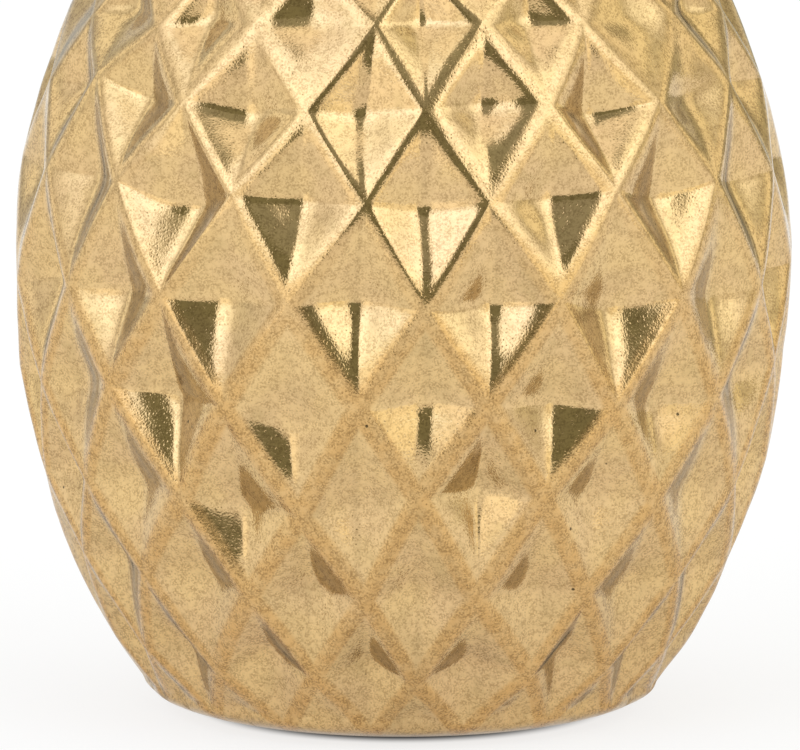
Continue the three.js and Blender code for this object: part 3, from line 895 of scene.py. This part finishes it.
def leaf_shape(tier):
    """A leaf in its own frame, X outwards, Y sideways and Z up, as a grid of sections along its midrib, and
    the share of the crests' dull band and painted reflection at its edges.

    The midrib's slope blends from root to middle to tip, and its place is the running sum of that slope, from
    two sections of straight tang on. The width swells to its widest and then shrinks to the tip. A section is
    a lens that is lifted at its edges, with a groove and fine veins above."""
    _, _, bend, length_share, width_share, root_share = tier
    u = np.concatenate([[0, 0], 1 - (1 - np.linspace(0, 1, LEAF_SECTIONS)) ** SECTION_POWER])
    root, middle, end = np.radians(bend)
    slope = (1 - u) ** 2 * root + 2 * u * (1 - u) * middle + u**2 * end
    mid_slope = np.concatenate([[root], (slope[1:] + slope[:-1]) / 2])
    step = np.diff(u, prepend=0) * LEAF_LENGTH * length_share
    step[:3] = -TANG_DEPTH, TANG_DEPTH / 2, TANG_DEPTH / 2
    out = np.cumsum(np.cos(mid_slope) * step)
    up = np.cumsum(np.sin(mid_slope) * step)
    widest = LEAF_WIDTH * width_share
    root_width = LEAF_ROOT_WIDTH * root_share
    swell = root_width + (widest - root_width) * (1 - np.clip(1 - u / WIDEST_SHARE, 0, 1) ** SWELL_POWER)
    shrink = widest * (1 - np.clip((u - WIDEST_SHARE) / (1 - WIDEST_SHARE), 0, 1) ** SHRINK_POWER)
    half_width = np.where(u < WIDEST_SHARE, swell, shrink) / 2
    half_thickness = LEAF_THICKNESS / 2 * (1 - TIP_THINNING * u) * np.sqrt(1 - u**END_POWER)
    camber = LEAF_CAMBER * np.sin(math.pi * u**CAMBER_POWER)
    turn = np.linspace(0, FULL_TURN, LEAF_SIDES, endpoint=False)
    side = np.cos(turn)
    lens = np.sign(np.sin(turn)) * np.sqrt(1 - side**4)
    groove = np.exp(-((side / GROOVE_SHARE) ** 2)) * (lens > 0) * LEAF_GROOVE
    veins = np.cos(FULL_TURN * LEAF_VEINS * side) * (1 - side**2) * (lens > 0) * LEAF_VEIN
    across = half_width[:, None] * side
    rise = camber[:, None] * side**2 + half_thickness[:, None] * lens
    rise += (camber / LEAF_CAMBER)[:, None] * (veins - groove)
    x = out[:, None] - rise * np.sin(slope)[:, None]
    z = up[:, None] + rise * np.cos(slope)[:, None]
    # The edges take the crests' dull band and painted reflection
    wear_and_reflection = np.broadcast_to(smooth_share(np.abs(side), *LEAF_EDGE), x.shape)
    return np.stack([x, across, z], axis=-1), wear_and_reflection


def make_leaves(material):
    """Each tier's leaves, set round the dome at its latitude, each one curled sideways a little differently.
    A section drawn together in its middle closes each end."""
    random = np.random.default_rng(LEAF_SEED)
    for tier_index, tier in enumerate(TIERS):
        count, latitude_deg = tier[:2]
        latitude = math.radians(latitude_deg)
        shape, wear_and_reflection = leaf_shape(tier)
        ends = np.broadcast_to(shape[[0, -1]].mean(axis=1, keepdims=True), shape[[0, -1]].shape)
        shape = np.concatenate([ends[:1], shape, ends[1:]])
        wear_and_reflection = np.concatenate([wear_and_reflection[:1], wear_and_reflection, wear_and_reflection[-1:]])
        x = DOME_RADIUS * math.cos(latitude) + shape[..., 0]
        z = DOME_BOTTOM + DOME_HEIGHT * math.sin(latitude) + shape[..., 2]
        bow = np.sin(np.linspace(0, math.pi, len(shape)))[:, None]
        for leaf_index in range(count):
            turn = FULL_TURN * (leaf_index / count + tier_index * TIER_TURN_SHARE)
            cosine, sine = math.cos(turn), math.sin(turn)
            y = shape[..., 1] + random.normal(0, LEAF_CURL) * bow
            grid = np.stack([x * cosine - y * sine, x * sine + y * cosine, z], axis=-1)
            points, faces, first = closed_skin(grid)
            node = f"leaf_tier{tier_index + 1}_{leaf_index + 1}"
            new_piece(node + "_fine", points, faces, material, node, wear_and_reflection.reshape(-1)[first])


def make_pads(material):
    """Felt discs with softened rims."""
    for index in range(PADS):
        node = f"foot_pad_{index + 1}"
        low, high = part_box(node)
        turn = np.linspace(0, math.pi / 2, PAD_STEPS)
        radius = PAD_RADIUS - PAD_ROUNDING * (1 - np.sin(turn))
        lift = PAD_ROUNDING * (1 - np.cos(turn))
        lower = np.stack([radius, low.z + lift], axis=1)
        upper = np.stack([radius, high.z - lift], axis=1)[::-1]
        points, faces = lathe(np.concatenate([[[0, low.z]], lower, upper, [[0, high.z]]]), PAD_SIDES)
        points[:, :2] += pad_place(index)
        new_piece(f"pad_{index + 1}", points, faces, material, node)


# Materials


class Nodes:
    """Adds nodes to a tree. An input given as a socket is linked, and any other value is set."""

    def __init__(self, tree):
        self.tree = tree

    def add(self, kind, inputs=(), **settings):
        node = self.tree.nodes.new(kind)
        for name, value in settings.items():
            setattr(node, name, value)
        for name, value in dict(inputs).items():
            if isinstance(value, bpy.types.NodeSocket):
                self.tree.links.new(value, node.inputs[name])
            else:
                node.inputs[name].default_value = value
        return node

    def math(self, operation, first, second=0.0):
        return self.add("ShaderNodeMath", {0: first, 1: second}, operation=operation).outputs[0]

    def plus(self, first, second):
        return self.math("ADD", first, second)

    def times(self, first, second):
        return self.math("MULTIPLY", first, second)

    def principled(self, inputs):
        """Ends a material with a Principled shader."""
        shader = self.add("ShaderNodeBsdfPrincipled", inputs)
        self.add("ShaderNodeOutputMaterial", {"Surface": shader.outputs[0]})

    def smooth(self, value, start, end, low=0.0, high=1.0):
        """A smooth step from low to high as the value goes from start to end."""
        return self.add("ShaderNodeMapRange", {
            "Value": value, "From Min": start, "From Max": end, "To Min": low, "To Max": high,
        }, interpolation_type="SMOOTHSTEP").outputs[0]

    def blend(self, share, first, second):
        """A number that goes evenly from first to second with the share."""
        return self.add("ShaderNodeMapRange", {"Value": share, "To Min": first, "To Max": second}).outputs[0]

    def between(self, value, low, high, soft):
        """1 from low to high and 0 outside, with soft edges."""
        risen = self.smooth(value, low - soft, low + soft)
        return self.times(risen, self.smooth(value, high - soft, high + soft, 1.0, 0.0))

    def noise(self, vector, size, detail=2.0):
        """Noise whose lumps are about size across."""
        node = self.add("ShaderNodeTexNoise", {"Vector": vector, "Scale": 1 / size, "Detail": detail})
        return node.outputs["Fac"]

    def dots(self, vector, size, inner, outer):
        """One round dot in each cell about size across, 1 within the inner share of the size and 0 beyond the
        outer one, and a chance number for each dot."""
        cells = self.add("ShaderNodeTexVoronoi", {"Vector": vector, "Scale": 1 / size})
        chance = self.add("ShaderNodeSeparateColor", {"Color": cells.outputs["Color"]}).outputs[0]
        return self.smooth(cells.outputs["Distance"], inner, outer, 1.0, 0.0), chance

    def mix(self, share, first, second):
        """A colour that goes from first to second with the share."""
        return self.add("ShaderNodeMix", {0: share, 6: first, 7: second}, data_type="RGBA").outputs[2]


def glaze_texture_group():
    """Node group: a lustred glaze's height in millimetres, which is its waves and grain less its dimples and
    pinholes, and masks of its dark grain, its clouds and its few pinholes."""
    group = bpy.data.node_groups.new("glaze_texture", "ShaderNodeTree")
    group.interface.new_socket("Vector", in_out="INPUT", socket_type="NodeSocketVector")
    for name in ("Height", "Grain", "Clouds", "Pinholes"):
        group.interface.new_socket(name, in_out="OUTPUT", socket_type="NodeSocketFloat")
    nodes = Nodes(group)
    vector = nodes.add("NodeGroupInput").outputs["Vector"]
    waves = nodes.noise(vector, WAVE_SIZE, 1.0)
    fine = nodes.noise(vector, GRAIN_SIZE, 1.0)
    dimples, chosen = nodes.dots(vector, DIMPLE_SIZE, *DIMPLE_EDGE)
    deep = nodes.times(dimples, nodes.smooth(chosen, *DEEP_CHANCES))
    clumps = nodes.smooth(nodes.noise(vector, GRAIN_CLUMP), *CLUMP_LIMITS)
    grain = nodes.times(nodes.smooth(fine, *GRAIN_LIMITS), clumps)
    holes, some = nodes.dots(vector, PINHOLE_SPACING, *PINHOLE_EDGE)
    pinholes = nodes.times(nodes.math("GREATER_THAN", some, PLAIN_SHARE), holes)
    height = nodes.times(waves, WAVE_HEIGHT)
    for operation, mask, share in (("ADD", fine, GRAIN_HEIGHT), ("SUBTRACT", deep, DIMPLE_DEPTH),
                                   ("SUBTRACT", pinholes, PINHOLE_DEPTH)):
        height = nodes.math(operation, height, nodes.times(mask, share))
    nodes.add("NodeGroupOutput", {
        "Height": height, "Grain": nodes.math("MAXIMUM", grain, deep),
        "Clouds": nodes.noise(vector, CLOUD_SIZE, 4.0), "Pinholes": pinholes,
    })
    return group


def emptied(owner):
    """The emptied nodes of a material or a world."""
    owner.use_nodes = True
    owner.node_tree.nodes.clear()
    return Nodes(owner.node_tree)


def new_material(name):
    material = bpy.data.materials.new(name)
    return material, emptied(material)


def gold_material(name, texture, roughnesses, self_reflection_colour):
    """Gold lustre: a mirror-like metal with cloudy colour, dark grain, dimples and pinholes, duller on its
    crests and painted more orange there, as a reflection of gold mirrored in gold. Towards its outline as the
    camera sees it, painted shade turns it olive and shows more grain. Mirrored in itself it has a painted
    reflection colour and a roughness of its own."""
    rough, inner_rough = roughnesses
    material, nodes = new_material(name)
    place = nodes.add("ShaderNodeTexCoord").outputs["Object"]
    glaze = nodes.add("ShaderNodeGroup", {"Vector": place}, node_tree=texture).outputs
    mirrored = nodes.add("ShaderNodeLightPath").outputs["Is Glossy Ray"]
    grazing = nodes.add("ShaderNodeLayerWeight", {"Blend": 0.5}).outputs["Facing"]
    wear_and_reflection = nodes.add("ShaderNodeAttribute", attribute_name="wear_and_reflection").outputs["Fac"]
    # The crests' dull band, also coloured as a painted reflection of gold mirrored in gold
    worn_and_reflecting = nodes.times(wear_and_reflection, nodes.smooth(nodes.noise(place, CREST_BAND_PATCH), *CREST_BAND_LIMITS, LEAST_CREST_BAND, 1.0))

    patches = nodes.smooth(nodes.noise(place, OLIVE_PATCH, 3.0), *OLIVE_LIMITS, 0.0, OLIVE_SHARES[0])
    # Olive: patches of the lustre's own tone, and painted shade towards the outline as the camera sees it
    olive_and_edge_shade = nodes.math("MAXIMUM", patches, nodes.smooth(grazing, *OLIVE_SHADE_GRAZING, 0.0, OLIVE_SHARES[1]))
    # The dark grain grows towards the outline as seen: painted shade
    grain_and_edge_shade_share = nodes.smooth(grazing, *GRAIN_SHADE_GRAZING, *GRAIN_SHARES)
    grain_and_edge_shade_share = nodes.plus(nodes.times(worn_and_reflecting, WORN_GRAIN), grain_and_edge_shade_share)
    colour = nodes.mix(nodes.smooth(glaze["Clouds"], *COLOUR_LIMITS), GOLD, PINK_GOLD)
    layers = [
        (olive_and_edge_shade, OLIVE_GOLD),
        # painted reflection: the crest's orange stands in for gold mirrored in gold
        (worn_and_reflecting, CREST_REFLECTION_GOLD),
        (nodes.times(glaze["Grain"], grain_and_edge_shade_share), GRAIN_BROWN),
        (nodes.times(glaze["Pinholes"], PINHOLE_SHARE), HOLE_BROWN),
        # painted reflection: the colour that the lustre shows where it is seen mirrored in itself
        (mirrored, self_reflection_colour),
    ]
    for share, layer in layers:
        colour = nodes.mix(share, colour, layer)

    clouds = nodes.smooth(glaze["Clouds"], *ROUGHNESS_LIMITS, rough, rough + CLOUD_ROUGHNESS)
    roughness = nodes.plus(clouds, nodes.times(worn_and_reflecting, WORN_ROUGHNESS))
    roughness = nodes.math("MAXIMUM", roughness, nodes.times(mirrored, inner_rough))
    relief = nodes.plus(nodes.times(worn_and_reflecting, WORN_RELIEF), 1.0)
    height = nodes.times(glaze["Height"], relief)
    bump = nodes.add("ShaderNodeBump", {"Height": height, "Strength": 1.0, "Distance": MM})
    nodes.principled({"Base Color": colour, "Metallic": 1.0, "Roughness": roughness,
                      "Normal": bump.outputs["Normal"]})
    return material


def felt_material():
    """Pressed brown felt: matted fibres in two shades, with a soft sheen."""
    material, nodes = new_material("felt")
    place = nodes.add("ShaderNodeTexCoord").outputs["Object"]
    stretched = nodes.add("ShaderNodeMapping", {"Vector": place, "Scale": FIBRE_STRETCH}).outputs[0]
    fibres = nodes.noise(stretched, FIBRE_SIZE, 4.0)
    tufts = nodes.noise(place, TUFT_SIZE, 2.0)
    share = nodes.smooth(nodes.times(nodes.plus(fibres, tufts), 0.5), *FELT_LIMITS)
    bump = nodes.add("ShaderNodeBump", {"Height": fibres, "Strength": 0.8, "Distance": FIBRE_RELIEF})
    nodes.principled({"Base Color": nodes.mix(share, *FELT_BROWNS), "Roughness": 0.95, "Sheen Weight": 0.4,
                      "Normal": bump.outputs["Normal"]})
    return material


# Studio


def make_camera():
    """The photograph's viewpoint."""
    data = bpy.data.cameras.new("camera")
    data.sensor_width = SENSOR_WIDTH
    data.sensor_fit = "HORIZONTAL"
    data.lens = LENS
    data.clip_end = CLIP_END
    camera = add_object("camera", data)
    camera.location = Vector(CAMERA_PLACE)
    camera.rotation_euler = (math.pi / 2 - CAMERA_TILT, 0, 0)
    bpy.context.scene.camera = camera


def directions(nodes, vector):
    """Azimuth and elevation of a vector, in degrees; the elevation holds for unit vectors only."""
    parts = nodes.add("ShaderNodeSeparateXYZ", {"Vector": vector})
    to_degrees = 180 / math.pi
    front = nodes.times(parts.outputs["Y"], -1.0)
    azimuth = nodes.times(nodes.math("ARCTAN2", parts.outputs["X"], front), to_degrees)
    elevation = nodes.times(nodes.math("ARCSINE", parts.outputs["Z"]), to_degrees)
    return azimuth, elevation


def make_world():
    """A pale studio: broad walls and a ceiling, a dim panel above the camera, softboxes that fade outwards on
    both sides of it, and a dark room behind it. The camera itself sees plain white."""
    world = bpy.data.worlds.new("studio")
    bpy.context.scene.world = world
    nodes = emptied(world)
    azimuth, elevation = directions(nodes, nodes.add("ShaderNodeTexCoord").outputs["Generated"])

    def patch(az_range, el_range, soft):
        """1 inside a range of azimuth and elevation, with soft edges."""
        across = nodes.between(azimuth, *az_range, soft)
        return nodes.times(across, nodes.between(elevation, *el_range, soft))

    colour = WHITE
    for az_range, el_range, soft, light in WALLS:
        colour = nodes.mix(patch(az_range, el_range, soft), colour, light)
    for inner, ends, el_range, light in SOFTBOXES:
        az_range = (min(inner, ends[1]) - SOFTBOX_OVERLAP, max(inner, ends[1]) + SOFTBOX_OVERLAP)
        fading = nodes.smooth(azimuth, *ends, 1.0, 0.0)
        colour = nodes.mix(nodes.times(patch(az_range, el_range, SOFTBOX_SOFTNESS), fading), colour, light)
    colour = nodes.mix(patch(*ROOM_EDGES, ROOM_SOFTNESS), colour, ROOM_LIGHT)
    colour = nodes.mix(nodes.add("ShaderNodeLightPath").outputs["Is Camera Ray"], colour, WHITE)
    background = nodes.add("ShaderNodeBackground", {"Color": colour, "Strength": 1.0})
    nodes.add("ShaderNodeOutputWorld", {"Surface": background.outputs[0]})


def make_table():
    """A white table top that ends a little in front of the ornament. It glows, so that it reads as white
    where nothing shades it and keeps the ornament's shadow, but its glow fades out under the foot as a
    painted contact shadow. In reflections it glows less and scatters more, and painted shade makes it a
    little dimmer near the foot and towards the camera."""
    reach = TABLE_REACH
    corners = [(-reach, -TABLE_FRONT, 0), (reach, -TABLE_FRONT, 0), (reach, reach, 0), (-reach, reach, 0)]
    mesh = bpy.data.meshes.new("table")
    mesh.from_pydata(corners, [], [(0, 1, 2, 3)])
    add_object("table", mesh)
    material, nodes = new_material("table_white")
    seen = nodes.add("ShaderNodeLightPath").outputs["Is Camera Ray"]
    place = nodes.add("ShaderNodeTexCoord").outputs["Object"]
    radius = nodes.add("ShaderNodeVectorMath", {0: place}, operation="LENGTH").outputs["Value"]
    azimuth, _ = directions(nodes, place)
    # Painted shade in reflections only: dimmer towards the camera and near the foot
    side = nodes.times(nodes.between(azimuth, *DIM_SIDE, DIM_SOFTNESS), 1 - DIM_TABLE)
    near = nodes.smooth(radius, *NEAR_RADII, 1 - NEAR_TABLE, 0.0)
    dim = nodes.times(nodes.plus(side, near), nodes.math("SUBTRACT", 1.0, seen))
    shade = nodes.math("SUBTRACT", 1.0, dim)
    glow, albedo = (
        nodes.times(nodes.blend(seen, TABLE_REFLECTED[i], TABLE_SEEN[i]), shade) for i in range(2)
    )
    # Painted contact shadow: the glow fades out under the foot
    glow = nodes.times(glow, nodes.smooth(radius, *CONTACT_SHADOW_RADII))
    grey = nodes.add("ShaderNodeCombineColor", {"Red": albedo, "Green": albedo, "Blue": albedo}).outputs[0]
    nodes.principled({"Base Color": grey, "Roughness": 0.9, "Specular IOR Level": 0.0,
                      "Emission Color": WHITE, "Emission Strength": glow})
    mesh.materials.append(material)


def main():
    bpy.context.scene.view_settings.view_transform = "Standard"
    make_camera()
    make_world()
    make_table()
    texture = glaze_texture_group()
    gold_body = gold_material("gold_body", texture, BODY_ROUGHNESS, SELF_REFLECTION_GOLD)
    gold_crown = gold_material("gold_crown", texture, CROWN_ROUGHNESS, SELF_REFLECTION_CROWN)
    make_body(gold_body)
    make_stub(gold_crown)
    make_leaves(gold_crown)
    make_pads(felt_material())


main()
